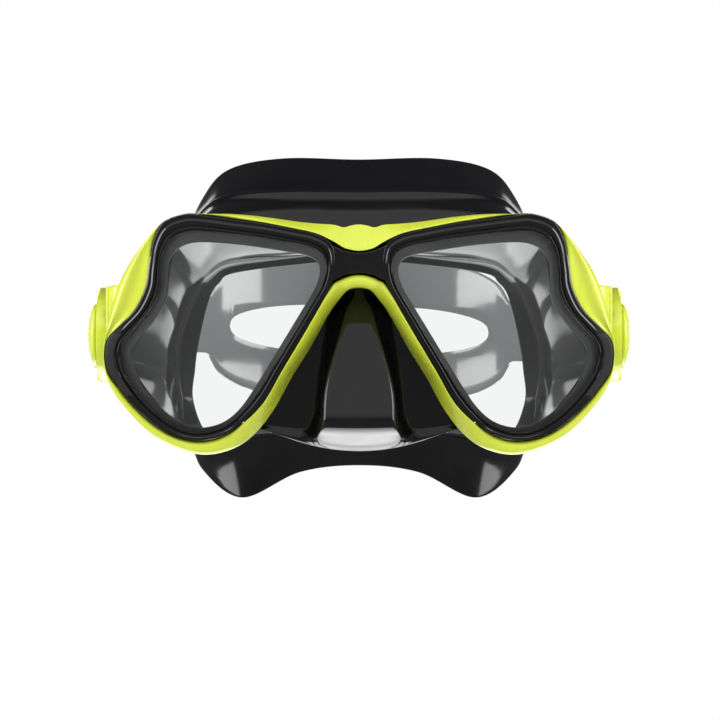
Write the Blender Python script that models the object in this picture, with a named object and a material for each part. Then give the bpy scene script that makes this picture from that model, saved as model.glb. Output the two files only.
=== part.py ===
"""Two-lens dive mask with a swivelling head strap.

Every separately moulded, cut or turned piece is its own closed solid.
Metres, +Z up, the lenses face -Y, the wearer's face is on the +Y side.
The origin is the middle of the face opening at the height of the strap.
"""
import bpy
import bmesh
from math import cos, pi, radians, sin, sqrt

MM = 0.001
GAP = 0.3

# Lens plane: y = LENS_Y + sweep * |x| + rake * z
LENS_Y = -60.0
SWEEP = 0.132
SWEEP_START = 8.5
RAKE = -0.087
GLASS_FRONT = 3.5
GLASS_THICK = 3.5
BEZEL_DEPTH = 7.9
FRAME_FRONT = 8.25
FRAME_DEPTH = 12.0
RIM_FRONT = GLASS_FRONT + GLASS_THICK + GAP
RIM_BACK = 15.0
RING_STEPS = 1

# Bezel lip, lens edge and frame ledge as fractions of the window-to-bezel width
LIP_EDGE = 0.40
LENS_EDGE = 0.69
LENS_POCKET = 0.745
FRAME_LEDGE = 0.77

# Strap hardware, right-hand side (mirrored to the left)
PIVOT_Y = -26.0
EAR_INNER_X = 77.75
EAR_OUTER_X = 81.0
EAR_RADIUS = 10.5
PLATE_INNER_X = EAR_OUTER_X + GAP
PLATE_OUTER_X = 84.6
BUCKLE_HALF_HEIGHT = 15.5
ARM_INNER_Z = 11.4
BUTTON_RADIUS = 10.0
BUTTON_HEIGHT = 3.2
POST_RADIUS = 3.5
POST_HOLE = POST_RADIUS + GAP
CLIP_RADIUS = 6.5
CLIP_INNER_X = 76.2
ROLLER_X = 78.5
ROLLER_Y = -2.0
ROLLER_RADIUS = 3.0
ROLLER_HALF = 10.9
ROLLER_RIDGES = 14
PIN_RADIUS = 1.0
PIN_HOLE = PIN_RADIUS + GAP
LEVER_X = 85.6
LEVER_Y = 5.0
LEVER_HALF = 10.9

# Strap
STRAP_THICK = 2.0
STRAP_HALF = 10.5
PAD_HALF = 27.0
PAD_START_X = 64.0
PAD_FULL_X = 42.0
KEEPER_Y = 30.0
KEEPER_HALF_LENGTH = 4.5
TOOTH_HEIGHT = 0.6
TOOTH_LEVELS = (11.0, 14.5, 18.0, 21.5, 38.0, 41.5, 45.0, 48.5)

# Outlines of one lens opening in (|x|, z), walked from the bridge side over the top
WINDOW = [
    (12.5, 19.5), (13.2, 22.9), (16.5, 24.9), (22.0, 26.0), (30.0, 27.3), (38.5, 28.4),
    (46.5, 29.1), (52.5, 29.0), (57.0, 27.3), (60.0, 23.6), (60.6, 18.5), (60.5, 13.5),
    (62.3, 8.3), (66.5, 2.7), (70.6, -2.2), (72.2, -5.9), (71.3, -10.8), (68.9, -16.2),
    (64.8, -21.3), (59.3, -26.2), (53.6, -29.2), (48.0, -29.4), (42.3, -27.4), (37.3, -23.0),
    (32.5, -16.0), (27.6, -8.0), (22.5, 0.4), (17.6, 8.5), (14.0, 14.6)]
BEZEL_EDGE = [
    (7.6, 22.0), (8.6, 28.2), (13.5, 31.4), (20.5, 33.0), (30.0, 34.8), (40.2, 36.1),
    (48.5, 37.3), (55.0, 37.7), (61.5, 35.2), (64.6, 29.5), (66.0, 21.5), (67.0, 14.8),
    (70.4, 7.7), (75.6, 2.2), (79.0, -1.8), (79.8, -6.8), (78.8, -12.0), (75.4, -16.8),
    (71.0, -22.4), (64.0, -28.6), (57.0, -32.3), (49.5, -33.4), (42.0, -31.4), (36.4, -27.6),
    (30.2, -21.2), (24.6, -11.5), (18.8, -1.8), (13.4, 7.4), (8.8, 15.4)]
FRAME_EDGE = [
    (-1.0, 22.5), (-1.0, 34.2), (8.5, 34.2), (19.0, 34.9), (29.2, 36.3), (39.6, 37.6),
    (48.6, 38.9), (56.2, 39.1), (63.4, 36.2), (68.0, 28.6), (72.0, 21.2), (75.5, 14.6),
    (77.8, 8.0), (79.8, 3.0), (81.0, -1.6), (81.6, -7.0), (80.6, -12.8), (78.2, -17.4),
    (74.6, -22.6), (67.3, -30.1), (58.8, -35.4), (49.5, -38.0), (40.6, -36.5), (33.6, -32.1),
    (27.0, -23.8), (21.4, -13.7), (15.6, -4.4), (9.2, 7.0), (-1.0, 14.5)]

# Skirt guide lines from top centre round one side to bottom centre: the two front lines are
# (|x|, z) on the back plane of the frame, the others (|x|, y, z)
SKIRT_INNER_FRONT = [
    (0, 27.5), (22, 27.5), (44, 30.0), (58.5, 24.5), (62.5, 9.0), (72.2, -6.0),
    (66.5, -19.0), (54.0, -28.5), (41, -27.5), (22, -30.5), (0, -33.0)]
SKIRT_OUTER_FRONT = [
    (0, 32.5), (22, 33.0), (44, 34.0), (63, 28.0), (67.0, 10.5), (75.6, -6.5),
    (70.0, -22.0), (56, -32.5), (42, -32.0), (22, -34.0), (0, -36.5)]
SKIRT_CREASE = [
    (0, -37, 45.4), (22, -36, 45.6), (42, -30, 44.5), (59.5, -20, 30.0),
    (66.0, -14, 9.0), (68.0, -12, -8.0), (65.5, -14, -24.0), (56, -20, -36.5),
    (42, -24, -41.5), (22, -26, -40.0), (0, -28, -38.5)]
SKIRT_FLANGE = [
    (0, -14, 57.8), (25, -12, 58.3), (44.4, -3, 55.0), (60.5, 8, 30.0),
    (66.5, 15, 8.0), (67.5, 16, -8.0), (64.5, 12, -25.0), (52, 2, -43.5),
    (37, -6, -53.6), (19.5, -9, -45.4), (0, -10, -43.1)]
SKIRT_LIP = [
    (0, -15, 24.5), (23, -12, 23.0), (42, -4, 20.5), (50, 3, 12.5),
    (53.8, 8, -2.0), (55.2, 8.5, -12.0), (55.6, 6, -22.0), (50, 1, -34.0),
    (37, -4, -41.0), (20, -7, -37.5), (0, -8, -35.5)]
SKIRT_INNER_WALL = [
    (0, -22, 31.0), (24, -20, 30.0), (44, -12, 25.5), (53.5, -6, 16.0),
    (58.8, -2, 0.0), (60.2, -1, -10.0), (59.3, -2, -21.0), (52.5, -8, -33.5),
    (38.5, -12, -38.0), (21, -15, -34.5), (0, -16, -33.0)]
SHEET = 2.4
EDGE = 1.5
VALLEY_DEPTH = 0.42

# Nose pocket rows from the top: centre (z, y), half-widths of front face and base,
# edge (x, y, z), and how far the sheet's thickness turns from backwards to upwards
NOSE_ROWS = [
    (30.0, -48.4, 3.0, 6.0, 11.0, -47.8, 30.0, 0),
    (20.0, -48.4, 3.0, 6.0, 11.0, -47.6, 20.0, 0),
    (13.6, -48.0, 1.0, 3.0, 12.3, -47.3, 13.0, 0),
    (8.0, -51.4, 2.2, 7.2, 15.1, -46.4, 8.0, -30),
    (2.0, -56.0, 3.4, 8.6, 18.8, -45.6, 1.5, -30),
    (-8.5, -61.0, 6.4, 11.2, 25.0, -44.2, -8.5, -25),
    (-18.0, -65.0, 8.7, 12.8, 31.0, -42.5, -18.5, -10),
    (-25.6, -66.5, 9.2, 13.8, 36.0, -41.2, -24.5, 15),
    (-31.0, -62.5, 10.0, 14.6, 38.0, -40.0, -27.5, 45),
    (-35.6, -52.0, 10.5, 16.4, 33.5, -39.4, -30.0, 80),
    (-35.4, -37.0, 11.0, 18.0, 24.0, -37.4, -33.0, 80)]
NOSE_COLUMNS = 9


def clear_scene():
    for item in list(bpy.data.objects):
        bpy.data.objects.remove(item, do_unlink=True)


def make_material(name, colour, roughness, metallic=0.0, alpha=1.0):
    material = bpy.data.materials.new(name)
    material.use_nodes = True
    shader = material.node_tree.nodes["Principled BSDF"]
    shader.inputs["Base Color"].default_value = (*colour, 1.0)
    shader.inputs["Roughness"].default_value = roughness
    shader.inputs["Metallic"].default_value = metallic
    shader.inputs["Alpha"].default_value = alpha
    return material


def lime_plastic():
    return make_material("lime_plastic", (0.65, 0.74, 0.05), 0.25)


def black_plastic():
    return make_material("black_plastic", (0.012, 0.012, 0.013), 0.15)


def black_silicone():
    return make_material("black_silicone", (0.013, 0.013, 0.014), 0.3)


def clear_glass():
    return make_material("clear_glass", (0.95, 0.97, 0.96), 0.02, 0.0, 0.35)


def steel():
    return make_material("steel", (0.55, 0.55, 0.56), 0.3, 1.0)


def roller_plastic():
    return make_material("roller_plastic", (0.02, 0.02, 0.022), 0.4)


def smooth_step(value):
    clamped = min(1.0, max(0.0, value))
    return clamped * clamped * (3.0 - 2.0 * clamped)


def mix(a, b, factor):
    return tuple(p + (q - p) * factor for p, q in zip(a, b))


def toward(a, b, distance):
    length = sqrt(sum((q - p) ** 2 for p, q in zip(a, b)))
    return mix(a, b, distance / length)


def catmull(p0, p1, p2, p3, t):
    return tuple(0.5 * (2 * b + (c - a) * t + (2 * a - 5 * b + 4 * c - d) * t * t
                        + (3 * b - a - 3 * c + d) * t ** 3)
                 for a, b, c, d in zip(p0, p1, p2, p3))


def closed_curve(points, steps):
    count = len(points)
    curve = []
    for i in range(count):
        span = [points[(i + k) % count] for k in (-1, 0, 1, 2)]
        curve += [catmull(*span, step / steps) for step in range(steps)]
    return curve


def mirrored_loop(half, steps):
    """Close a half guide line (first and last point on the centre plane) into a full loop."""
    other = [(-point[0], *point[1:]) for point in reversed(half[1:-1])]
    return closed_curve(list(half) + other, steps)


def lens_plane(x, z):
    return LENS_Y + SWEEP * max(0.0, abs(x) - SWEEP_START) + RAKE * z


def solid(name, vertices, faces, material):
    """Closed mesh object from millimetre points, with all faces turned outwards."""
    bm = bmesh.new()
    made = [bm.verts.new([c * MM for c in point]) for point in vertices]
    for face in faces:
        bm.faces.new([made[i] for i in face])
    bmesh.ops.recalc_face_normals(bm, faces=bm.faces)
    mesh = bpy.data.meshes.new(name)
    bm.to_mesh(mesh)
    bm.free()
    item = bpy.data.objects.new(name, mesh)
    bpy.context.scene.collection.objects.link(item)
    item.data.materials.append(material)
    return item


def loft(name, loops, material, closed_section):
    """Skin matched loops; a closed section makes a ring, otherwise both ends are capped."""
    count = len(loops[0])
    vertices = [point for loop in loops for point in loop]
    last = len(loops) if closed_section else len(loops) - 1
    faces = []
    for row in range(last):
        here = row * count
        there = ((row + 1) % len(loops)) * count
        for i in range(count):
            j = (i + 1) % count
            faces.append((here + i, here + j, there + j, there + i))
    if not closed_section:
        faces.append(tuple(range(count)))
        faces.append(tuple(range(here + count, here + 2 * count)))
    return solid(name, vertices, faces, material)


def apply_modifiers(item):
    graph = bpy.context.evaluated_depsgraph_get()
    baked = bpy.data.meshes.new_from_object(item.evaluated_get(graph))
    old = item.data
    item.modifiers.clear()
    item.data = baked
    bpy.data.meshes.remove(old)
    return item


def combine(item, others, operation):
    for other in others:
        step = item.modifiers.new(operation.lower(), 'BOOLEAN')
        step.operation = operation
        step.solver = 'EXACT'
        step.object = other
        apply_modifiers(item)
        bpy.data.objects.remove(other, do_unlink=True)
    return item


def bevel(item, width, segments=1, angle=35.0):
    step = item.modifiers.new("bevel", 'BEVEL')
    step.width = width * MM
    step.segments = segments
    step.limit_method = 'ANGLE'
    step.angle_limit = radians(angle)
    return apply_modifiers(item)


def smooth(item, angle=40.0):
    for polygon in item.data.polygons:
        polygon.use_smooth = True
    item.data.set_sharp_from_angle(angle=radians(angle))
    return item


def place_origin(item, point):
    """Move the object's origin to a world point in millimetres without moving its mesh."""
    offset = [c * MM for c in point]
    for vertex in item.data.vertices:
        vertex.co = [a - b for a, b in zip(vertex.co, offset)]
    item.location = offset
    return item


def prism(name, outline, low, high, axis, material):
    """Extrude an outline between two levels along X, Y or Z."""
    place = {'X': lambda a, b, h: (h, a, b),
             'Y': lambda a, b, h: (a, h, b),
             'Z': lambda a, b, h: (a, b, h)}[axis]
    loops = [[place(a, b, level) for a, b in outline] for level in (low, high)]
    return loft(name, loops, material, False)


def circle(centre, radius, count, start=0.0):
    return [(centre[0] + radius * cos(start + 2 * pi * i / count),
             centre[1] + radius * sin(start + 2 * pi * i / count)) for i in range(count)]


def rod(name, centre, radius, low, high, axis, material, count=24):
    return prism(name, circle(centre, radius, count), low, high, axis, material)


def ring_loop(sections, side, u, depth):
    """One loop round a lens opening: u 0 window, 1 bezel edge, 2 frame edge; depth behind the plane."""
    window, bezel, frame = sections
    loop = []
    for w, b, f in zip(window, bezel, frame):
        x, z = mix(w, b, u) if u <= 1.0 else mix(b, f, u - 1.0)
        loop.append((side * x, lens_plane(x, z) + depth, z))
    return loop


def bezel_gap_loop(sections, side, depth):
    """Loop one clearance outside the bezel edge."""
    loop = []
    for b, f in zip(sections[1], sections[2]):
        x, z = toward(b, f, GAP + 0.05)
        loop.append((side * x, lens_plane(x, z) + depth, z))
    return loop


def opening_sections():
    return tuple(closed_curve(line, RING_STEPS) for line in (WINDOW, BEZEL_EDGE, FRAME_EDGE))


def make_bezel(material):
    """One-piece black retainer: two L-section rings joined by a recessed bridge plate."""
    sections = opening_sections()
    profile = [(LIP_EDGE, 3.2), (LIP_EDGE, 1.4), (0.48, 0.5), (0.62, 0.0), (0.82, 0.3),
               (0.95, 1.2), (1.0, 2.8), (1.0, BEZEL_DEPTH), (LENS_POCKET, BEZEL_DEPTH),
               (LENS_POCKET, 3.2)]
    rings = [loft("ring", [ring_loop(sections, side, u, t) for u, t in profile], material, True)
             for side in (1, -1)]
    item = rings[0]
    item.name = "front_bezel"
    combine(item, [bridge_plate(material, 0.0, 1.3, BEZEL_DEPTH - 0.6), rings[1]], 'UNION')
    return smooth(item)


def bridge_plate(material, grow, front, back):
    upper = [(8.2, 22.0), (8.3, 25.5), (9.2, 28.2), (7.4, 27.8), (4.8, 26.8), (0.0, 25.9),
             (-4.8, 26.8), (-7.4, 27.8), (-9.2, 28.2), (-8.3, 25.5), (-8.2, 22.0)]
    lower = [(-8.3, 18.5), (-9.2, 16.6), (-7.6, 17.0), (-4.8, 18.4), (0.0, 19.2),
             (4.8, 18.4), (7.6, 17.0), (9.2, 16.6), (8.3, 18.5)]
    outline = [(x, z + grow) for x, z in upper] + [(x, z - grow) for x, z in lower]
    loops = [[(x, LENS_Y + RAKE * z + depth, z) for x, z in outline] for depth in (front, back)]
    return loft("bridge", loops, material, False)


def make_lens(name, side, material):
    """Flat tempered pane with a ground edge."""
    sections = opening_sections()
    loops = [ring_loop(sections, side, LENS_EDGE, GLASS_FRONT),
             ring_loop(sections, side, LENS_EDGE, GLASS_FRONT + GLASS_THICK)]
    flat = [[(x, lens_plane(0, 0) + SWEEP * (abs(x) - SWEEP_START) + RAKE * z + depth, z)
             for x, y, z in loop] for loop, depth in
            zip(loops, (GLASS_FRONT, GLASS_FRONT + GLASS_THICK))]
    return smooth(bevel(loft(name, flat, material, False), 0.35, 1, 60.0))


def make_frame(material):
    """Lime frame: rounded rings outside the bezel, brow, wings and the two strap ears."""
    sections = opening_sections()
    rings = []
    for side in (1, -1):
        loops = [bezel_gap_loop(sections, side, 3.2)]
        loops += [ring_loop(sections, side, u, t) for u, t in
                  ((1.55, 1.8), (1.85, 2.6), (2.0, 4.4), (2.0, FRAME_DEPTH - 1.0),
                   (1.9, FRAME_DEPTH), (FRAME_LEDGE, FRAME_DEPTH), (FRAME_LEDGE, FRAME_FRONT))]
        loops.append(bezel_gap_loop(sections, side, FRAME_FRONT))
        rings.append(loft("ring", loops, material, True))
    item = rings[0]
    item.name = "main_frame"
    combine(item, [rings[1], frame_ear(1, material), frame_ear(-1, material)], 'UNION')
    cutters = [bridge_plate(material, GAP + 0.05, -9.0, FRAME_FRONT)]
    for side in (1, -1):
        levels = sorted((side * (EAR_INNER_X - 4.0), side * (EAR_OUTER_X + 4.0)))
        cutters.append(rod("cut", (PIVOT_Y, 0.0), POST_HOLE, *levels, 'X', material))
    combine(item, cutters, 'DIFFERENCE')
    return smooth(item)


def frame_ear(side, material):
    """Side lug with a rounded end that carries one swivel post."""
    end = [(PIVOT_Y + EAR_RADIUS * cos(a), EAR_RADIUS * sin(a))
           for a in [radians(75 - 15 * i) for i in range(11)]]
    outline = [(-41.5, -12.0)] + [(-41.5, 12.0), (-36.0, 11.2)] + end + [(-36.0, -11.2)]
    levels = sorted((side * EAR_INNER_X, side * EAR_OUTER_X))
    return prism("ear", outline, *levels, 'X', material)


def lens_rim(side, material):
    """Silicone seat pressed against the back of one lens."""
    sections = opening_sections()
    profile = [(0.0, RIM_FRONT), (LENS_EDGE, RIM_FRONT), (LENS_EDGE, FRAME_DEPTH - 0.4),
               (0.42, RIM_BACK), (0.1, RIM_BACK)]
    return loft("rim", [ring_loop(sections, side, u, t) for u, t in profile], material, True)


def skirt_wall(material):
    """Outer wall, feathered face flange, hollow and inner sealing lip as one lofted section."""
    steps = 3
    inner, outer = (
        [(x, lens_plane(x, z) + FRAME_DEPTH + 0.4, z) for x, z in mirrored_loop(half, steps)]
        for half in (SKIRT_INNER_FRONT, SKIRT_OUTER_FRONT))
    crease, flange, lip, wall = (
        mirrored_loop(half, steps) for half in
        (SKIRT_CREASE, SKIRT_FLANGE, SKIRT_LIP, SKIRT_INNER_WALL))
    valley = [mix(mix(a, b, 0.5), mix(c, d, 0.5), VALLEY_DEPTH)
              for a, b, c, d in zip(inner, outer, crease, wall)]
    loops = [inner, outer, crease, flange,
             [toward(a, b, EDGE) for a, b in zip(flange, lip)],
             [toward(a, b, SHEET) for a, b in zip(crease, wall)],
             valley,
             [toward(a, b, SHEET) for a, b in zip(wall, crease)],
             [toward(a, b, EDGE) for a, b in zip(lip, flange)],
             lip, wall]
    return loft("wall", loops, material, True)


def nose_row(row, side_count):
    """Front and back points of one row of the nose sheet."""
    centre_z, centre_y, front, base, edge_x, edge_y, edge_z, tilt = row
    outside = []
    inside = []
    for i in range(-side_count, side_count + 1):
        part = i / side_count
        x = edge_x * part
        rise = 1.0 - smooth_step((abs(x) - front) / (base - front))
        hollow = 2.0 * sin(pi * abs(part)) * cos(radians(tilt))
        y = edge_y + hollow * (1.0 - rise) + (centre_y - edge_y) * rise
        z = edge_z + (centre_z - edge_z) * (1.0 - part * part)
        lean = radians(tilt) * rise
        outside.append((x, y, z))
        inside.append((x * 0.985, y + SHEET * cos(lean), z + SHEET * sin(lean)))
    return outside, inside


def nose_pocket(material):
    """Silicone web between the lenses with the soft nose pocket pushed forward out of it."""
    loops = []
    for row in NOSE_ROWS:
        outside, inside = nose_row(row, NOSE_COLUMNS)
        loops.append(outside + inside[::-1])
    return loft("nose", loops, material, False)


def make_skirt(material):
    """Soft silicone skirt: lens seats, nose pocket, walls and double sealing edge in one piece."""
    item = skirt_wall(material)
    item.name = "skirt"
    combine(item, [lens_rim(1, material), lens_rim(-1, material), nose_pocket(material)], 'UNION')
    return smooth(item, 50.0)


def make_button(name, side, material):
    """Domed swivel button with its post, pressed through the ear from outside."""
    profile = [(CLIP_INNER_X - 0.6, POST_RADIUS - 0.4), (CLIP_INNER_X - 0.2, POST_RADIUS),
               (PLATE_OUTER_X + GAP, POST_RADIUS)]
    dome = PLATE_OUTER_X + GAP
    profile += [(dome, BUTTON_RADIUS), (dome + 0.8, BUTTON_RADIUS)]
    profile += [(dome + 0.8 + (BUTTON_HEIGHT - 0.8) * sin(radians(a)),
                 BUTTON_RADIUS * cos(radians(a))) for a in (25, 45, 65, 80)]
    loops = [[(side * x, y, z) for y, z in circle((PIVOT_Y, 0.0), radius, 24)]
             for x, radius in profile]
    return smooth(place_origin(loft(name, loops, material, False), (0, PIVOT_Y, 0)), 30.0)


def make_clip(name, side, material):
    """Push-on washer that keeps the swivel post in the ear."""
    outer = circle((PIVOT_Y, 0.0), CLIP_RADIUS, 24)
    inner = circle((PIVOT_Y, 0.0), POST_HOLE, 24)
    low = CLIP_INNER_X
    high = EAR_INNER_X - GAP
    loops = [[(side * x, y, z) for y, z in line] for line, x in
             ((outer, low), (outer, high), (inner, high), (inner, low))]
    return smooth(place_origin(loft(name, loops, material, True), (0, PIVOT_Y, 0)))


def make_buckle(name, side, material):
    """Buckle body: round-nosed side plate and two arms that carry the roller and lever pins."""
    nose = [(PIVOT_Y + 13.0 * cos(a), 13.0 * sin(a))
            for a in [radians(100 + 16 * i) for i in range(11)]]
    outline = [(-11.0, BUCKLE_HALF_HEIGHT), (-20.0, BUCKLE_HALF_HEIGHT)] + nose
    outline += [(-20.0, -BUCKLE_HALF_HEIGHT), (-11.0, -BUCKLE_HALF_HEIGHT)]
    levels = sorted((side * PLATE_INNER_X, side * PLATE_OUTER_X))
    item = prism(name, outline, *levels, 'X', material)
    arm = [(75.4, -13.0), (PLATE_OUTER_X - 0.4, -16.5), (PLATE_OUTER_X - 0.4, 0.5),
           (85.2, 2.4), (86.6, 2.9), (87.6, 4.0), (87.8, 5.4), (87.0, 6.8), (85.6, 7.4),
           (82.0, 9.6), (77.0, 9.6), (75.4, 8.0)]
    arm = [(side * x, y) for x, y in arm]
    arms = [prism("arm", arm, low, high, 'Z', material) for low, high in
            ((ARM_INNER_Z, BUCKLE_HALF_HEIGHT - 0.4), (0.4 - BUCKLE_HALF_HEIGHT, -ARM_INNER_Z))]
    combine(item, arms, 'UNION')
    reach = BUCKLE_HALF_HEIGHT + 4.0
    levels = sorted((side * (PLATE_INNER_X - 4.0), side * (PLATE_OUTER_X + 4.0)))
    cutters = [rod("cut", (PIVOT_Y, 0.0), POST_HOLE, *levels, 'X', material),
               rod("cut", (side * ROLLER_X, ROLLER_Y), PIN_HOLE, -reach, reach, 'Z', material),
               rod("cut", (side * LEVER_X, LEVER_Y), PIN_HOLE, -reach, reach, 'Z', material)]
    combine(item, cutters, 'DIFFERENCE')
    return smooth(place_origin(item, (0, PIVOT_Y, 0)), 30.0)


def make_roller(name, side, material):
    """Ridged roller turning on its pin; the strap wraps round it."""
    outer = []
    for i in range(2 * ROLLER_RIDGES):
        radius = ROLLER_RADIUS if i % 2 else ROLLER_RADIUS - 0.45
        angle = pi * i / ROLLER_RIDGES
        outer.append((side * ROLLER_X + radius * cos(angle), ROLLER_Y + radius * sin(angle)))
    inner = circle((side * ROLLER_X, ROLLER_Y), PIN_HOLE, 2 * ROLLER_RIDGES)
    loops = [[(x, y, z) for x, y in line] for line, z in
             ((outer, -ROLLER_HALF), (outer, ROLLER_HALF),
              (inner, ROLLER_HALF), (inner, -ROLLER_HALF))]
    return place_origin(loft(name, loops, material, True), (side * ROLLER_X, ROLLER_Y, 0))


def make_pin(name, centre, material):
    item = rod(name, centre, PIN_RADIUS, -BUCKLE_HALF_HEIGHT + 0.6, BUCKLE_HALF_HEIGHT - 0.6,
               'Z', material, 20)
    return smooth(place_origin(bevel(item, 0.2, 1), (centre[0], centre[1], 0)))


def make_lever(name, side, material):
    """Lock lever: toothed nose on the strap, ribbed thumb tab behind the pin."""
    outline = [(84.15, -2.6), (84.8, -4.4), (86.4, -4.0), (87.4, -1.0), (87.7, 5.0),
               (88.2, 9.0), (88.9, 10.0), (88.4, 11.2), (89.1, 12.2), (88.6, 13.4),
               (89.3, 14.4), (89.2, 16.4), (87.4, 17.2), (86.2, 12.0), (84.6, 7.0), (84.2, 1.5)]
    outline = [(side * x, y) for x, y in outline]
    item = prism(name, outline, -LEVER_HALF, LEVER_HALF, 'Z', material)
    cut = rod("cut", (side * LEVER_X, LEVER_Y), PIN_HOLE, -LEVER_HALF - 4, LEVER_HALF + 4, 'Z',
              material)
    combine(item, [cut], 'DIFFERENCE')
    return place_origin(item, (side * LEVER_X, LEVER_Y, 0))


def strap_tail():
    """Plan-view centre line (x, y) of the right-hand free tail, from its end to the roller."""
    return [(76.0, 50.0), (76.1, 37.0), (76.5, 29.0), (77.3, 23.5), (79.6, 15.5),
            (81.9, 8.5), (ROLLER_X + ROLLER_RADIUS + GAP + STRAP_THICK / 2, 3.0)]


def strap_path():
    """Plan-view centre line (x, y) of the right half, from the free tail to the back of the head."""
    bend = ROLLER_RADIUS + GAP + STRAP_THICK / 2
    wrap = [(ROLLER_X + bend * cos(radians(a)), ROLLER_Y + bend * sin(radians(a)))
            for a in range(0, -181, -20)]
    run = [(74.1, 6.0), (73.8, 18.0), (73.4, 30.0), (73.0, 42.0), (72.4, 54.0), (70.0, 92.0)]
    rear = [(68.4, 101.0), (65.4, 110.0), (61.0, 118.0), (54.5, 126.5), (46.0, 134.5),
            (36.0, 141.0), (25.0, 146.0), (12.5, 149.2), (0.0, 150.3)]
    return strap_tail() + wrap + run + rear


def strap_teeth(side, material):
    """Ridges moulded across the outer face of one tail, for the lock lever to bite on."""
    line = strap_tail()
    teeth = []
    for level in TOOTH_LEVELS:
        for (xa, ya), (xb, yb) in zip(line, line[1:]):
            if ya >= level > yb:
                length = sqrt((xb - xa) ** 2 + (yb - ya) ** 2)
                tx, ty = (xb - xa) / length, (yb - ya) / length
                cx = xa + (xb - xa) * (ya - level) / (ya - yb)
                foot, top = STRAP_THICK / 2 - 0.4, STRAP_THICK / 2 + TOOTH_HEIGHT
                corners = [(cx - ty * h + tx * w, level + tx * h + ty * w) for w, h in
                           ((-0.8, foot), (0.8, foot), (0.4, top), (-0.4, top))]
                teeth.append(prism("tooth", [(side * x, y) for x, y in corners],
                                   1.0 - STRAP_HALF, STRAP_HALF - 1.0, 'Z', material))
    return teeth


def strap_half_width(x, y):
    if y < 90.0:
        return STRAP_HALF
    spread = smooth_step((PAD_START_X - abs(x)) / (PAD_START_X - PAD_FULL_X))
    return STRAP_HALF + (PAD_HALF - STRAP_HALF) * spread


def make_strap(material):
    """One-piece silicone strap: split head pad, side runs, wraps round the rollers, free tails."""
    half = strap_path()
    path = half + [(-x, y) for x, y in reversed(half[:-1])]
    loops = []
    for i, (x, y) in enumerate(path):
        before = path[max(i - 1, 0)]
        after = path[min(i + 1, len(path) - 1)]
        length = sqrt((after[0] - before[0]) ** 2 + (after[1] - before[1]) ** 2)
        nx = (after[1] - before[1]) / length * STRAP_THICK / 2
        ny = (before[0] - after[0]) / length * STRAP_THICK / 2
        h = strap_half_width(x, y)
        loops.append([(x + nx, y + ny, h), (x - nx, y - ny, h),
                      (x - nx, y - ny, -h), (x + nx, y + ny, -h)])
    item = loft("strap", loops, material, False)
    upper = [(48.0, 0.0), (44.0, 4.4), (36.0, 7.6), (22.0, 9.8), (0.0, 10.6)]
    slot = upper + [(-x, z) for x, z in reversed(upper[:-1])]
    slot += [(-x, -z) for x, z in upper[1:]] + [(x, -z) for x, z in reversed(upper[1:-1])]
    combine(item, [prism("slot", slot, 118.0, 175.0, 'Y', material)], 'DIFFERENCE')
    combine(item, strap_teeth(1, material) + strap_teeth(-1, material), 'UNION')
    return smooth(item, 30.0)


def make_keeper(name, side, material):
    """Small rubber loop holding the free tail against the strap."""
    outer = [(70.9, -12.9), (79.2, -12.9), (79.2, 12.9), (70.9, 12.9)]
    inner = [(72.0, -11.2), (78.1, -11.2), (78.1, 11.2), (72.0, 11.2)]
    low = KEEPER_Y - KEEPER_HALF_LENGTH
    high = KEEPER_Y + KEEPER_HALF_LENGTH
    loops = [[(side * x, y, z) for x, z in line] for line, y in
             ((outer, low), (outer, high), (inner, high), (inner, low))]
    return bevel(loft(name, loops, material, True), 0.4, 1, 60.0)


def build():
    clear_scene()
    lime = lime_plastic()
    black = black_plastic()
    rubber = black_silicone()
    glass = clear_glass()
    metal = steel()
    roller = roller_plastic()
    make_frame(lime)
    make_bezel(black)
    make_skirt(rubber)
    make_strap(rubber)
    for end, side in (("_right", 1), ("_left", -1)):
        make_lens("lens" + end, side, glass)
        make_button("swivel_button" + end, side, lime)
        make_clip("swivel_clip" + end, side, black)
        make_buckle("buckle_body" + end, side, lime)
        make_roller("strap_roller" + end, side, roller)
        make_pin("roller_pin" + end, (side * ROLLER_X, ROLLER_Y), metal)
        make_lever("lock_lever" + end, side, lime)
        make_pin("lever_pin" + end, (side * LEVER_X, LEVER_Y), metal)
        make_keeper("strap_keeper" + end, side, rubber)


build()
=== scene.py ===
from math import cos, pi, radians, sin, sqrt

import bmesh
import bpy
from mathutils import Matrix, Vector


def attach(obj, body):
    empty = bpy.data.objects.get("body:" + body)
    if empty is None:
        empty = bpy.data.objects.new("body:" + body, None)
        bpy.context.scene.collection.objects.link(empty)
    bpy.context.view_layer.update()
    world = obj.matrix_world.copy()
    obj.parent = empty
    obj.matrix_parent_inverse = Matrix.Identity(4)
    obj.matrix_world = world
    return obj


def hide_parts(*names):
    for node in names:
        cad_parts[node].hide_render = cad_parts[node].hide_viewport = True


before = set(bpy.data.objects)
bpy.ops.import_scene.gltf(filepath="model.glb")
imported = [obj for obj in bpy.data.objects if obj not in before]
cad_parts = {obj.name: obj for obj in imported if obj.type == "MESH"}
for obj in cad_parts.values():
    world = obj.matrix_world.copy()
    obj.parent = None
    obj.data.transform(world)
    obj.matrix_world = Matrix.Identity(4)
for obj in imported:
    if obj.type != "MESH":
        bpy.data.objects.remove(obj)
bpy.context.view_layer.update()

MM = 0.001

# Lengths are in millimetres: x to the picture's right, y away from the eye, z up.
# GAP is the play between moving parts.
GAP = 0.3

# Lens plane: y = LENS_Y + SWEEP * (how far |x| is past SWEEP_START) + RAKE * z
LENS_Y = -60.0
SWEEP = 0.132
SWEEP_START = 8.5
RAKE = -0.087

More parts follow.
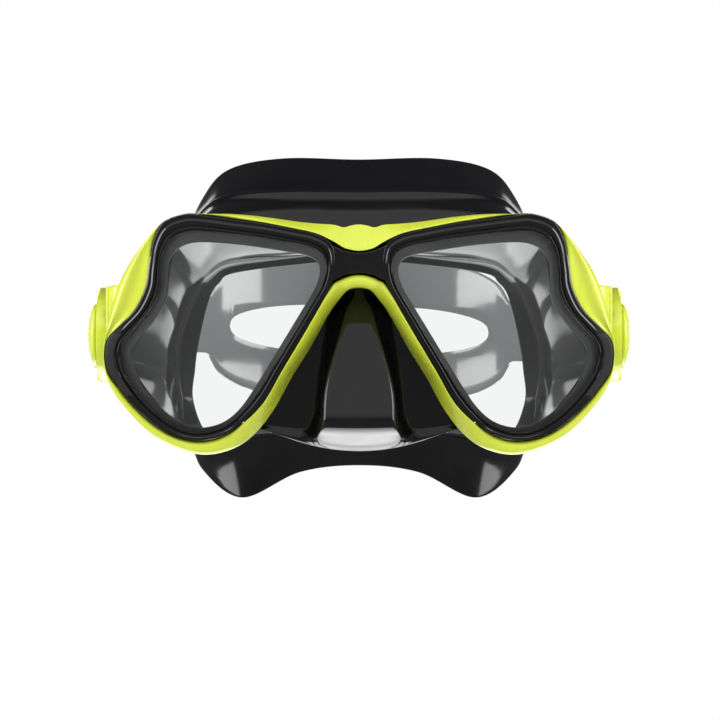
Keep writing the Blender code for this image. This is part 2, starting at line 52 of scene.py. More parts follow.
# Depths behind the lens plane
GLASS_FRONT = 3.5
GLASS_THICK = 3.5
BRIDGE_FRONT = 1.2
BRIDGE_BACK = 7.3
FRAME_FRONT = 8.25
FRAME_DEPTH = 12.0
SKIRT_CLEARANCE = 0.1

# Shares of the way from a lens window's edge (0) to the retainer's outer edge (1)
LIP_EDGE = 0.40
LENS_EDGE = 0.69
LENS_POCKET = 0.745

# Curve points made per outline point, and the angles in degrees from which an edge is shaded
# sharp and from which it is rounded off
RING_STEPS = 8
SHARP_ANGLE = 50.0
BEVEL_ANGLE = 60.0

# The camera stands 1 m in front of the lens frame, level; EYE_Z is its height in the outlines'
# perspective, and the shift brings the mask to its place in the picture
EYE_Z = -8.3
EYE_DISTANCE = 1000.0
EYE_SHIFT_X = 0.3
EYE_SHIFT_Z = 0.15
IMAGE_PIXELS = 720
PIXELS_PER_MM = 3.18
SENSOR_WIDTH = 36.0

# Studio strengths: backdrop, its factor below the table's edge, overhead, and the dim rest
BACKDROP_LIGHT = 1.3
TABLE_LIGHT = 2.6
OVERHEAD_LIGHT = 0.9
CEILING_LIGHT = 0.05
ROOM_LIGHT = 0.25
FLOOR_GLOW = 0.3

# Studio edges: the component of the direction over which each light fades
BACKDROP_BEHIND = (0.14, 0.2)
BACKDROP_TOP = (0.28, 0.34)
BACKDROP_SIDE = (0.38, 0.42)
TABLE_EDGE = (-0.54, -0.46)
OVERHEAD_RISE = (0.2, 0.55)
OVERHEAD_NEAR = (-0.1, 0.25)
ROOM_RISE = (0.0, 0.4)

# The floor lies below the strap at its lowest and reaches this far each way
FLOOR_Z = -150.0
FLOOR_REACH = 2500.0

# Ears on the frame, with the swivel axis through (PIVOT_Y, 0), and the buckle plates outside them
PIVOT_Y = -26.0
EAR_INNER_X = 77.75
EAR_OUTER_X = 81.0
EAR_RADIUS = 10.5
PLATE_INNER_X = EAR_OUTER_X + GAP
PLATE_OUTER_X = 84.6
PLATE_FRONT_Y = -39.0
PLATE_CLEARANCE = 0.5
BUTTON_RADIUS = 10.0
POST_RADIUS = 3.5
ROLLER_X = 78.5
ROLLER_Y = -2.0
ROLLER_RADIUS = 3.0

# Strap, its bend round a roller, and its teeth: places along the tail and inset from its edges
STRAP_THICK = 2.0
STRAP_HALF = 10.5
STRAP_BEND = ROLLER_RADIUS + GAP + STRAP_THICK / 2
TOOTH_PLACES = (11.0, 14.5, 18.0, 21.5, 38.0, 41.5, 45.0, 48.5)
TOOTH_INSET = 3.2

# Head pad, which starts at PAD_START_Y: distance from the middle and half height there
PAD_START_Y = 90.0
PAD_PROFILE = [
    (57.8, 10.5), (56.4, 11.0), (55.3, 12.2), (54.5, 14.0), (53.5, 16.1), (51.5, 18.7),
    (48.8, 20.6), (45.0, 22.6), (40.0, 24.2), (30.0, 26.2), (16.0, 26.8), (0.0, 26.8)]

# The pad's lift above the side runs, its tilt, and where the lift begins and how far it takes
PAD_LIFT = 3.4
PAD_TILT = 0.028
LIFT_START_Y = 45.0
LIFT_LENGTH = 80.0

# Outlines (x, z) as the eye sees them: the right lens window and the retainer's edge, matched
# point by point from the upper inner corner outwards and round
WINDOW = [
    (12.5, 19.5), (13.2, 22.9), (16.5, 24.9), (22.0, 26.0), (30.0, 27.3), (38.5, 28.4),
    (46.5, 29.1), (52.5, 29.0), (57.0, 27.3), (60.0, 23.6), (60.6, 18.5), (60.5, 13.5),
    (62.3, 8.3), (66.5, 2.7), (70.6, -2.2), (72.2, -5.9), (71.3, -10.8), (68.9, -16.2),
    (64.8, -21.3), (59.3, -26.2), (53.6, -29.2), (48.0, -29.4), (42.3, -27.4), (37.3, -23.0),
    (32.5, -16.0), (27.6, -8.0), (22.5, 0.4), (17.6, 8.5), (14.0, 14.6)]
BEZEL_EDGE = [
    (7.6, 22.0), (8.6, 28.2), (13.5, 31.4), (20.5, 33.0), (30.0, 34.8), (40.2, 36.1),
    (48.5, 37.3), (55.0, 37.7), (61.5, 35.2), (64.6, 29.5), (66.0, 21.5), (67.0, 14.8),
    (70.4, 7.7), (75.6, 2.2), (79.0, -1.8), (79.8, -6.8), (78.8, -12.0), (75.4, -16.8),
    (71.0, -22.4), (64.0, -28.6), (57.0, -32.3), (49.5, -33.4), (42.0, -31.4), (36.4, -27.6),
    (30.2, -21.2), (24.6, -11.5), (18.8, -1.8), (13.4, 7.4), (8.8, 15.4)]

# The frame's outer edge beside the retainer's edge from its third point on; the two edges
# between the lenses, at the top from the middle outwards and over the nose inwards; and the gap
# left between frame and retainer
FRAME_EDGE = [
    (19.5, 35.6), (29.4, 37.0), (39.9, 38.0), (48.5, 38.1), (55.1, 38.1), (62.0, 35.5),
    (68.1, 28.8), (73.1, 21.4), (76.1, 15.2), (78.2, 8.7), (79.5, 3.0), (80.4, -1.6),
    (80.6, -6.8), (80.0, -12.6), (77.9, -17.6), (74.4, -22.6), (67.2, -30.2), (58.8, -35.4),
    (49.5, -38.0), (40.6, -36.5), (33.6, -32.1), (27.0, -23.8), (21.4, -13.7), (15.6, -4.4),
    (9.2, 7.0)]
FRAME_TOP_INNER = [(0, 25.9), (2.4, 26.2), (4.8, 26.9), (8.1, 28.9)]
FRAME_TOP_OUTER = [(0, 34.7), (2.4, 34.4), (4.9, 33.8), (7.9, 34.6), (13.5, 35.0)]
FRAME_APEX_INNER = [(6.5, 17.3), (3.2, 18.7), (0, 19.2)]
FRAME_APEX_OUTER = [(5.2, 12.4), (3.3, 14.1), (1.5, 14.6), (0, 14.7)]
FRAME_GAP = 0.35

# Skirt guide lines from top centre round one side to bottom centre: (x, z) on the lens frame's
# back, (x, y, z) behind it
SKIRT_STEPS = 14
SKIRT_INNER_FRONT = [
    (0, 27.5), (22, 27.5), (44, 30.5), (53.0, 30.0), (59.5, 25.5), (63.0, 9.2), (73.2, -6.0),
    (67.2, -19.2), (54.5, -30.6), (41, -28.5), (22, -28.6), (0, -29.5)]
SKIRT_OUTER_FRONT = [
    (0, 32.5), (22, 33.0), (44, 34.2), (55.0, 33.5), (63, 28.0), (67.0, 10.5), (76.4, -6.5),
    (70.6, -22.0), (56.6, -33.6), (42, -32.6), (22, -31.4), (0, -32.0)]
SKIRT_CREASE = [
    (0, -37, 45.4), (22, -36, 45.6), (42, -28, 44.7), (51.0, -17, 40.6), (59.5, -13, 27.5),
    (66.0, -12, 9.0), (67.6, -9, -8.0), (64.0, -4, -24.0), (54, -3.6, -33.5),
    (42, -10, -34.0), (22, -19, -31.4), (0, -21, -31.5)]
SKIRT_FLANGE = [
    (0, -14, 57.8), (25, -12, 58.3), (43.0, -7, 55.0), (51.9, -4, 45.8), (60.5, 5, 28.0),
    (66.5, 14, 8.0), (67.5, 16, -8.0), (57.3, 10.5, -33.5), (52.2, 2.6, -44.9),
    (38.6, -11.0, -53.5), (19.5, -14.5, -45.0), (0, -12, -42.9)]
SKIRT_LIP = [
    (0, -15, 24.5), (23, -12, 23.0), (42, -4, 20.5), (46.5, -0.5, 17.5), (50, 3, 12.5),
    (53.8, 8, -2.0), (55.2, 8.5, -12.0), (55.6, 6, -22.0), (50, 1, -33.0),
    (37, -5, -35.0), (20, -7, -32.5), (0, -8, -31.5)]
SKIRT_INNER_WALL = [
    (0, -18, 28.0), (24, -14, 25.8), (42.4, -7, 23.5), (49.0, -3.5, 19.9), (54.2, 0, 14.0),
    (59.6, 5, 0.8), (60.9, 5.5, -10.0), (60.1, 3, -20.3), (56.6, -1, -31.5),
    (38.5, -6, -31.6), (21, -11, -28.6), (0, -13, -28.4)]

# Rows over the outer skin: place between its guide lines (0, 1, 2) and height of the bead there
SKIN_ROWS = [
    (0, 0), (0.1, 0), (0.25, 0), (0.4, 0), (0.46, 0), (0.5, 0.3), (0.62, 0.15), (0.76, 0),
    (0.86, -0.2), (0.92, 0.15), (0.96, 0.6), (1.0, 0.75), (1.03, 0.6), (1.06, 0.15), (1.1, -0.2),
    (1.16, 0), (1.25, 0), (1.38, 0), (1.5, 0), (1.62, 0), (1.75, 0), (1.87, 0), (1.95, 0),
    (2.0, 0)]

# Rows through the groove between the walls: place between its five guide loops
GROOVE_ROWS = [
    0, 0.3, 0.6, 0.85, 1.0, 1.2, 1.5, 1.8, 2.0, 2.2, 2.5, 2.8, 3.0, 3.15, 3.4, 3.7, 4.0]

# Silicone thickness on the walls and at the free edges, and the rows that round such an edge:
# share of the way across it and share of the bulge
SHEET = 2.4
EDGE = 1.5
EDGE_BULGE = 0.45
EDGE_ROWS = ((0.15, 0.6), (0.5, 1.0), (0.85, 0.6))

# The bottom of the groove between the walls, as a share of the way from the front edge back to
# the crease; the inner wall's bow, and its cove's size toward the lip and toward the front
VALLEY_DEPTH = 0.42
WALL_BOW = 1.3
COVE_LIP = 1.2
COVE_WALL = 2.6

# Below the nose the skirt's front edge is set back, over this half width
CHIN_SETBACK = 6.5
CHIN_HALF = 36.0
CHIN_EASE = 10.0

# Nose rows from the top: centre (z, y), half-widths of front face and base, edge (x, y, z),
# and how far the sheet's thickness turns from backwards to upwards
NOSE_ROWS = [
    (30.0, -48.4, 3.0, 6.0, 11.0, -47.8, 30.0, 0),
    (20.0, -48.4, 3.0, 6.0, 11.0, -47.6, 20.0, 0),
    (13.6, -48.0, 1.0, 3.0, 12.3, -47.3, 13.0, 0),
    (8.0, -51.4, 2.2, 7.2, 15.1, -46.4, 8.0, -30),
    (2.0, -56.0, 3.4, 8.6, 18.8, -45.6, 1.5, -30),
    (-8.5, -60.0, 6.4, 11.2, 25.0, -44.2, -8.5, -25),
    (-18.0, -63.7, 8.7, 12.8, 31.0, -42.5, -18.5, -10),
    (-25.6, -66.4, 9.0, 13.8, 36.0, -41.2, -24.5, 15),
    (-28.2, -66.2, 9.2, 14.6, 37.0, -40.6, -26.2, 30),
    (-30.6, -63.4, 9.9, 15.4, 38.0, -40.0, -27.5, 50),
    (-33.4, -55.0, 11.0, 16.2, 35.5, -40.0, -28.6, 70),
    (-35.8, -47.0, 10.4, 15.2, 31.5, -40.0, -30.2, 80),
    (-37.4, -39.0, 9.6, 13.8, 26.0, -39.0, -32.0, 80)]
NOSE_INNER_SCALE = 0.985
WEB_BOW = 2.0

# Retainer section from its outer edge (0) to its lip (1): depth on the bead, depth on the lug
BEZEL_SECTION = [
    (0.0, 3.0, 2.2), (0.001, 1.2, 0.5), (0.006, 0.88, 0.25), (0.025, 0.7, 0.1),
    (0.07, 0.62, 0.02), (0.2, 0.58, 0.0), (0.28, 0.52, -0.05), (0.33, 0.4, -0.05),
    (0.385, 0.14, -0.05), (0.43, 0.03, -0.05), (0.5, 0.0, 0.0), (0.57, 0.02, 0.05),
    (0.63, 0.12, 0.2), (0.68, 0.45, 0.5), (0.72, 0.62, 0.62), (0.76, 0.58, 0.58),
    (0.79, 0.35, 0.35), (0.83, 0.2, 0.2), (0.89, 0.2, 0.2), (0.94, 0.4, 0.4),
    (0.98, 1.0, 1.0), (1.0, 1.8, 1.8)]

# Back of the retainer from its lip over the glass to its outer edge: share and depth
BEZEL_BACK = [
    (LIP_EDGE, 2.4), (LIP_EDGE, 3.2), (LENS_POCKET, 3.2), (LENS_POCKET, 7.9), (1.0, 7.9)]

# Thick lug at the retainer's outer corner, counted in outline points, and the matt part of it
LUG_START = 12.9
LUG_END = 17.9
LUG_EASE = 0.8
MATT_START = 13.4
MATT_END = 17.4
MATT_ROWS = 11

# Polymers: darker and lighter colour, roughness range, grain scale, grain depth in metres, rest
POLYMERS = {
    "lime_gloss": (
        (0.555, 0.635, 0.040), (0.61, 0.69, 0.056), (0.22, 0.38), 1800.0, 0.00001,
        dict(Coat_Weight=0.5, Coat_Roughness=0.1, IOR=1.5)),
    "bezel_black_gloss": (
        (0.003, 0.003, 0.0035), (0.006, 0.006, 0.0065), (0.05, 0.12), 2500.0, 0.00001,
        dict(IOR=1.5)),
    "silicone_black_polished": (
        (0.004, 0.004, 0.005), (0.007, 0.007, 0.008), (0.10, 0.18), 1500.0, 0.00001,
        dict(IOR=1.43)),
    # Painted light: black silicone made much lighter inside, standing in for the veil seen there
    "silicone_black_inner_painted_light": (
        (0.075, 0.075, 0.076), (0.095, 0.095, 0.096), (0.06, 0.12), 1500.0, 0.000006,
        dict(IOR=1.38)),
    # Frosted seat: real roughness, but its grey stands in for the glass's veil: painted light
    "silicone_black_frosted_painted_light": (
        (0.16, 0.16, 0.161), (0.22, 0.22, 0.221), (0.35, 0.5), 900.0, 0.00004,
        dict(IOR=1.40)),
    "strap_silicone": (
        (0.15, 0.151, 0.156), (0.185, 0.186, 0.192), (0.10, 0.16), 1200.0, 0.000008,
        dict(IOR=1.6, Coat_Weight=0.6, Coat_Roughness=0.05)),
    "matt_black_plastic": (
        (0.016, 0.016, 0.017), (0.028, 0.028, 0.030), (0.38, 0.55), 1400.0, 0.00008,
        dict(IOR=1.48))}
RAMP_PLACES = (0.3, 0.7)


# ---------------------------------------------------------------- helpers

def smooth_step(value):
    clamped = min(1.0, max(0.0, value))
    return clamped * clamped * (3.0 - 2.0 * clamped)


def between(a, b, factor):
    return a + (b - a) * factor


def mix(a, b, factor):
    return tuple(p + (q - p) * factor for p, q in zip(a, b))


def bend(a, corner, b, factor):
    """Point on a curve from a to b that heads for the corner on the way."""
    return mix(mix(a, corner, factor), mix(corner, b, factor), factor)


def toward(a, b, distance):
    length = sqrt(sum((q - p) ** 2 for p, q in zip(a, b)))
    return mix(a, b, distance / max(length, 1e-9))


def catmull(p0, p1, p2, p3, t):
    return tuple(0.5 * (2 * b + (c - a) * t + (2 * a - 5 * b + 4 * c - d) * t * t
                        + (3 * b - a - 3 * c + d) * t ** 3)
                 for a, b, c, d in zip(p0, p1, p2, p3))


def closed_curve(points, steps):
    count = len(points)
    curve = []
    for i in range(count):
        span = [points[(i + k) % count] for k in (-1, 0, 1, 2)]
        curve += [catmull(*span, step / steps) for step in range(steps)]
    return curve


def open_curve(points, steps):
    padded = [points[0]] + list(points) + [points[-1]]
    curve = []
    for i in range(len(points) - 1):
        curve += [catmull(*padded[i:i + 4], step / steps) for step in range(steps)]
    return curve + [tuple(points[-1])]


def mirrored_loop(half, steps):
    other = [(-point[0], *point[1:]) for point in reversed(half[1:-1])]
    return closed_curve(list(half) + other, steps)


def lens_plane(x, z):
    return LENS_Y + SWEEP * max(0.0, abs(x) - SWEEP_START) + RAKE * z


def placed(outline):
    """Outlines are drawn as seen by the eye; parts lying farther back are truly wider."""
    moved = []
    for x, z in outline:
        far = 1.0 + (lens_plane(x, z) - LENS_Y) / EYE_DISTANCE
        moved.append((x * far, EYE_Z + (z - EYE_Z) * far))
    return moved


def new_piece(name, vertices, faces, materials, body=None, node=None, slot=None,
              face_slots=None):
    """Mesh piece from millimetre points, riding on a CAD body and standing for a CAD node."""
    bm = bmesh.new()
    made = [bm.verts.new([c * MM for c in point]) for point in vertices]
    for i, face in enumerate(faces):
        polygon = bm.faces.new([made[k] for k in face])
        polygon.smooth = True
        if face_slots:
            polygon.material_index = face_slots[i]
    bmesh.ops.recalc_face_normals(bm, faces=bm.faces)
    mesh = bpy.data.meshes.new(name)
    bm.to_mesh(mesh)
    bm.free()
    item = bpy.data.objects.new(name, mesh)
    bpy.context.scene.collection.objects.link(item)
    for material in materials:
        mesh.materials.append(material)
    if body:
        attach(item, body)
    if node:
        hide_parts(node)
    return item


def grid_faces(rows, count, wrap_rows):
    """Quads between rows of points that close round; the last row may join the first."""
    faces = []
    for r in range(rows if wrap_rows else rows - 1):
        here = r * count
        there = ((r + 1) % rows) * count
        for i in range(count):
            j = (i + 1) % count
            faces.append((here + i, here + j, there + j, there + i))
    return faces


def ring_piece(name, loops, materials, slot_of=None, **where):
    """Closed-section ring through matched loops; slot_of picks a material by row and column."""
    count = len(loops[0])
    vertices = [point for loop in loops for point in loop]
    faces = grid_faces(len(loops), count, True)
    slots = [slot_of(*divmod(i, count)) for i in range(len(faces))] if slot_of else None
    return new_piece(name, vertices, faces, materials, face_slots=slots, **where)


def capped_piece(name, loops, materials, **where):
    """Solid through matched loops, closed by a face at each end."""
    count = len(loops[0])
    vertices = [point for loop in loops for point in loop]
    faces = grid_faces(len(loops), count, False)
    faces.append(tuple(range(count)))
    faces.append(tuple(range((len(loops) - 1) * count, len(loops) * count)))
    return new_piece(name, vertices, faces, materials, **where)


def add_modifier(item, kind, **settings):
    step = item.modifiers.new(kind.lower(), kind)
    for key, value in settings.items():
        setattr(step, key, value)


def bake(item):
    """Apply a piece's modifiers to its mesh."""
    graph = bpy.context.evaluated_depsgraph_get()
    mesh = bpy.data.meshes.new_from_object(item.evaluated_get(graph))
    item.modifiers.clear()
    old = item.data
    item.data = mesh
    bpy.data.meshes.remove(old)
    for polygon in mesh.polygons:
        polygon.use_smooth = True
    return item


def keep_sharp(item, angle=SHARP_ANGLE):
    item.data.set_sharp_from_angle(angle=radians(angle))
    return item


def bevelled(item, width, segments, angle=BEVEL_ANGLE):
    """Round off the edges that are sharper than an angle in degrees."""
    add_modifier(item, 'BEVEL', width=width * MM, segments=segments, limit_method='ANGLE',
                 angle_limit=radians(angle), harden_normals=False)
    return keep_sharp(bake(item))


def join(target, others):
    """Merge other pieces' meshes into the target, keeping its name and riding."""
    bm = bmesh.new()
    bm.from_mesh(target.data)
    for other in others:
        bm.from_mesh(other.data)
    bm.to_mesh(target.data)
    bm.free()
    for other in others:
        bpy.data.objects.remove(other, do_unlink=True)
    return target


def prism_loops(outline, low, high, axis):
    """An outline at two levels along an axis."""
    place = {'X': lambda a, b, h: (h, a, b),
             'Y': lambda a, b, h: (a, h, b),
             'Z': lambda a, b, h: (a, b, h)}[axis]
    return [[place(a, b, level) for a, b in outline] for level in (low, high)]


def circle(centre, radius, count):
    return [(centre[0] + radius * cos(2 * pi * i / count),
             centre[1] + radius * sin(2 * pi * i / count)) for i in range(count)]


# ---------------------------------------------------------------- materials

class Nodes:
    """Small wrapper that adds and links shader nodes."""

    def __init__(self, name):
        self.material = bpy.data.materials.new(name)
        self.material.use_nodes = True
        self.tree = self.material.node_tree
        self.shader = self.tree.nodes["Principled BSDF"]
        self.output = self.tree.nodes["Material Output"]
        self.coords = self.tree.nodes.new("ShaderNodeTexCoord").outputs["Object"]

    def add(self, kind):
        return self.tree.nodes.new(kind)

    def link(self, a, b):
        self.tree.links.new(a, b)

    def noise(self, scale, detail, roughness=0.5, stretch=None):
        source = self.coords
        if stretch:
            mapping = self.add("ShaderNodeMapping")
            mapping.inputs["Scale"].default_value = stretch
            self.link(source, mapping.inputs["Vector"])
            source = mapping.outputs["Vector"]
        item = self.add("ShaderNodeTexNoise")
        item.inputs["Scale"].default_value = scale
        item.inputs["Detail"].default_value = detail
        item.inputs["Roughness"].default_value = roughness
        self.link(source, item.inputs["Vector"])
        return item.outputs["Fac"]

    def remap(self, value, low, high, out_low, out_high):
        item = self.add("ShaderNodeMapRange")
        item.inputs["From Min"].default_value = low
        item.inputs["From Max"].default_value = high
        item.inputs["To Min"].default_value = out_low
        item.inputs["To Max"].default_value = out_high
        self.link(value, item.inputs["Value"])
        return item.outputs["Result"]

    def ramp(self, value, dark, light):
        item = self.add("ShaderNodeValToRGB")
        for element, place, colour in zip(item.color_ramp.elements, RAMP_PLACES, (dark, light)):
            element.position = place
            element.color = (*colour, 1.0)
        self.link(value, item.inputs["Fac"])
        return item.outputs["Color"]

    def bump(self, height, strength, distance, previous=None):
        item = self.add("ShaderNodeBump")
        item.inputs["Strength"].default_value = strength
        item.inputs["Distance"].default_value = distance
        self.link(height, item.inputs["Height"])
        if previous:
            self.link(previous, item.inputs["Normal"])
        return item.outputs["Normal"]

    def set(self, **values):
        for key, value in values.items():
            self.shader.inputs[key.replace("_", " ")].default_value = value

    def feed(self, name, value):
        self.link(value, self.shader.inputs[name])


def moulded(name):
    """Moulded polymer: slow colour drift, polish drift with fine scuffs, and a fine skin."""
    dark, light, rough, grain, grain_depth, values = POLYMERS[name]
    n = Nodes(name)
    n.set(**values)
    drift = n.noise(22.0, 3.0)
    n.feed("Base Color", n.ramp(drift, dark, light))
    smear = n.noise(70.0, 4.0, 0.6, (1.0, 1.0, 0.35))
    n.feed("Roughness", n.remap(smear, 0.35, 0.7, *rough))
    fine = n.noise(grain, 2.0)
    scuffs = n.noise(260.0, 6.0, 0.7, (0.25, 1.0, 1.0))
    normal = n.bump(fine, 0.35, grain_depth)
    n.feed("Normal", n.bump(scuffs, 0.12, grain_depth, normal))
    return n.material


def brushed_steel():
    """Drawn steel with fine lines along the pin."""
    n = Nodes("pin_steel")
    n.set(Metallic=1.0)
    lines = n.noise(900.0, 5.0, 0.65, (1.0, 1.0, 0.05))
    n.feed("Base Color", n.ramp(lines, (0.42, 0.42, 0.43), (0.66, 0.66, 0.67)))
    n.feed("Roughness", n.remap(lines, 0.3, 0.7, 0.22, 0.42))
    n.feed("Normal", n.bump(lines, 0.3, 0.00003))
    return n.material


def clear_glass():
    """Thin clear pane: see-through, with a Fresnel reflection and faint smears."""
    n = Nodes("lens_glass")
    n.tree.nodes.remove(n.shader)
    clear = n.add("ShaderNodeBsdfTransparent")
    clear.inputs["Color"].default_value = (0.975, 0.985, 0.98, 1.0)
    gloss = n.add("ShaderNodeBsdfGlossy")
    gloss.inputs["Color"].default_value = (1.0, 1.0, 1.0, 1.0)
    smears = n.noise(60.0, 4.0, 0.6)
    n.link(n.remap(smears, 0.35, 0.7, 0.01, 0.04), gloss.inputs["Roughness"])
    fresnel = n.add("ShaderNodeFresnel")
    fresnel.inputs["IOR"].default_value = 1.5
    blend = n.add("ShaderNodeMixShader")
    n.link(fresnel.outputs["Fac"], blend.inputs["Fac"])
    n.link(clear.outputs["BSDF"], blend.inputs[1])
    n.link(gloss.outputs["BSDF"], blend.inputs[2])
    n.link(blend.outputs["Shader"], n.output.inputs["Surface"])
    return n.material


# ---------------------------------------------------------------- lens frame

def opening_sections():
    """Matched curves round a lens: its window and the retainer's outer edge."""
    return tuple(closed_curve(placed(line), RING_STEPS) for line in (WINDOW, BEZEL_EDGE))


def ring_loop(sections, side, share, depth):
    """Loop round a lens: share 0 window, 1 retainer edge; depth behind the lens plane."""
    loop = []
    for i, (window, edge) in enumerate(zip(*sections)):
        x, z = mix(window, edge, share)
        behind = depth(i / RING_STEPS) if callable(depth) else depth
        loop.append((side * x, lens_plane(x, z) + behind, z))
    return loop


def lug_weight(station):
    """1 on the thick lug at the outer corner of the retainer."""
    return (smooth_step((station - LUG_START) / LUG_EASE)
            * smooth_step((LUG_END - station) / LUG_EASE))


def bezel_slot(row, column):
    """The front of the lug is matt (1), all the rest is glossy (0)."""
    return 1 if MATT_START < column / RING_STEPS < MATT_END and row < MATT_ROWS else 0


def make_bezel(gloss, matt):
    """Black retainer: one broad bead and a fine inner bead round each lens, lugs and bridge."""
    sections = opening_sections()
    rings = []
    for side in (1, -1):
        loops = []
        for place, bead, lug in BEZEL_SECTION:
            loops.append(ring_loop(
                sections, side, 1.0 - (1.0 - LIP_EDGE) * place,
                lambda s, bead=bead, lug=lug: bead + (lug - bead) * lug_weight(s)))
        loops += [ring_loop(sections, side, share, depth) for share, depth in BEZEL_BACK]
        rings.append(ring_piece("ring", loops, [gloss, matt], bezel_slot))
    item = new_bridge(gloss)
    item.data.materials.append(matt)
    return keep_sharp(join(item, rings))


def new_bridge(material):
    """Plate that joins the two lens rings of the retainer over the nose."""
    upper = [(8.2, 22.0), (8.6, 26.0), (9.6, 28.5), (7.4, 27.5), (4.8, 26.4), (2.4, 25.8),
             (0.0, 25.6)]
    lower = [(8.3, 18.6), (9.4, 16.6), (7.4, 17.2), (4.8, 18.5), (2.4, 19.1), (0.0, 19.3)]
    outline = upper + [(-x, z) for x, z in reversed(upper[:-1])]
    outline += [(-x, z) for x, z in lower] + [(x, z) for x, z in reversed(lower[:-1])]
    loops = [[(x, LENS_Y + RAKE * z + depth, z) for x, z in outline]
             for depth in (BRIDGE_FRONT, BRIDGE_BACK)]
    item = capped_piece("front_bezel_shape", loops, [material], body="mask",
                        node="front_bezel", slot="black_plastic")
    return bevelled(item, 0.5, 3)


def make_lens(name, side, material):
    """Flat pane in the retainer's pocket; unlike the frame it doesn't bend at SWEEP_START."""
    sections = opening_sections()
    loop = ring_loop(sections, side, LENS_EDGE, 0.0)
    flat = [[(x, LENS_Y + SWEEP * (abs(x) - SWEEP_START) + RAKE * z + depth, z)
             for x, _, z in loop] for depth in (GLASS_FRONT, GLASS_FRONT + GLASS_THICK)]
    item = capped_piece(name + "_glass", flat, [material], body="mask", node=name,
                        slot="clear_glass")
    return bevelled(item, 0.3, 2)


def frame_lines():
    """Matched inner and outer outlines of the whole frame, top centre round to bottom centre."""
    inner = FRAME_TOP_INNER + BEZEL_EDGE[2:] + FRAME_APEX_INNER
    outer = FRAME_TOP_OUTER + FRAME_EDGE + FRAME_APEX_OUTER
    return placed(inner), placed(outer)


def bump_weight(station, low, high, soft):
    """1 between two stations, easing to 0 outside them."""
    return smooth_step((station - low) / soft + 1.0) * smooth_step((high - station) / soft + 1.0)


def frame_depth(station, part):
    """Depth of the frame's front surface behind the lens plane across its width.

    It is a round bead that turns into a sloping brow at the top middle, a dished wing at the
    side and a sloping leg beside the nose, and lies deeper at the upper outer corner."""
    across = 2.0 * part - 1.0
    bead = 1.1 + 2.8 * (1.0 - sqrt(max(0.0, 1.0 - 0.96 * across * across)))
    brow = 1.0 + 4.5 * part ** 1.3
    leg = 0.9 + 9.6 * part ** 1.5
    dish = 0.7 * sin(pi * min(1.0, part / 0.8)) ** 2
    wing = 1.9 + dish + 30.0 * max(0.0, part - 0.7) ** 2
    depth = between(bead, brow, bump_weight(station, -2.0, 5.0, 3.0))
    depth = between(depth, leg, bump_weight(station, 25.5, 29.0, 2.0))
    depth = between(depth, wing, bump_weight(station, 12.2, 14.8, 2.2))
    return depth + 3.5 * bump_weight(station, 8.4, 9.4, 2.2)


def make_frame(material):
    """Lime frame in one ring round both lenses, with brow, dished wings and the strap ears."""
    inner, outer = frame_lines()
    inner = mirrored_loop(inner, RING_STEPS)
    outer = mirrored_loop(outer, RING_STEPS)
    stations = len(inner) / RING_STEPS

    def row(part, depth):
        """Loop at a share of the frame's width, kept in front of the buckle plates."""
        loop = []
        for i, (a, b) in enumerate(zip(inner, outer)):
            station = min(i / RING_STEPS, stations - i / RING_STEPS)
            x, z = mix(toward(a, b, FRAME_GAP), b, part)
            behind = depth(station, part) if callable(depth) else depth
            clear_of_plate = (PLATE_FRONT_Y - PLATE_CLEARANCE
                              + max(0.0, PLATE_INNER_X - abs(x)))
            loop.append((x, min(lens_plane(x, z) + behind, clear_of_plate), z))
        return loop

    parts = [0.0, 0.02, 0.06, 0.12, 0.2, 0.3, 0.4, 0.5, 0.6, 0.7, 0.8, 0.88, 0.94, 0.98, 1.0]
    loops = [row(0.0, FRAME_DEPTH), row(0.0, FRAME_FRONT)]
    loops += [row(part, frame_depth) for part in parts]
    loops += [row(1.0, lambda s, p: max(frame_depth(s, p) + 1.0, 9.6)), row(0.97, 11.6),
              row(0.9, FRAME_DEPTH)]
    item = ring_piece("front_frame", loops, [material], body="mask", node="main_frame",
                      slot="lime_plastic")
    return keep_sharp(join(item, [frame_ear(side, material) for side in (1, -1)]))


def frame_ear(side, material):
    """Side lug with a rounded end, flowing forward into the back of the wing."""
    end = [(PIVOT_Y + EAR_RADIUS * cos(a), EAR_RADIUS * sin(a))
           for a in [radians(80 - 8 * i) for i in range(21)]]
    outline = [(-43.0, -13.4), (-43.0, 15.4), (-39.0, 15.4), (-36.0, 14.4), (-33.4, 12.6)]
    outline += end + [(-34.0, -11.6), (-38.0, -12.8)]
    loops = prism_loops(outline, side * EAR_INNER_X, side * EAR_OUTER_X, 'X')
    plate = bevelled(capped_piece("ear", loops, [material]), 0.6, 3)
    plan = [(75.0, -39.0), (75.0, -46.6), (76.0, -47.6), (77.4, -47.0), (78.7, -45.6),
            (79.8, -43.6), (80.6, -41.2), (81.0, -38.6), (81.0, -36.4), (77.75, -36.4),
            (77.75, -39.0)]
    root = capped_piece("root", prism_loops([(side * x, y) for x, y in plan], 4.0, 15.6, 'Z'),
                        [material])
    return join(bevelled(root, 0.7, 3), [plate])


# ---------------------------------------------------------------- skirt

def grid_normals(rows):
    """Unit normals of a grid of points that closes round its columns."""
    normals = []
    for r, row in enumerate(rows):
        above, below = rows[max(r - 1, 0)], rows[min(r + 1, len(rows) - 1)]
        line = []
        for i in range(len(row)):
            along = Vector(row[(i + 1) % len(row)]) - Vector(row[i - 1])
            across = Vector(below[i]) - Vector(above[i])
            line.append(across.cross(along).normalized())
        normals.append(line)
    return normals


def section_rows(guides, places, heights=None):
    """Rows between matched guide loops: place 0 on the first, 1 on the second and so on."""
    rows = []
    for place in places:
        k = min(int(place), len(guides) - 2)
        span = [guides[min(max(k + d, 0), len(guides) - 1)] for d in (-1, 0, 1, 2)]
        rows.append([catmull(*points, place - k) for points in zip(*span)])
    if not heights:
        return rows
    normals = grid_normals(rows)
    return [[tuple(c + n * heights[r] for c, n in zip(point, normal))
             for point, normal in zip(row, line)]
            for r, (row, line) in enumerate(zip(rows, normals))]


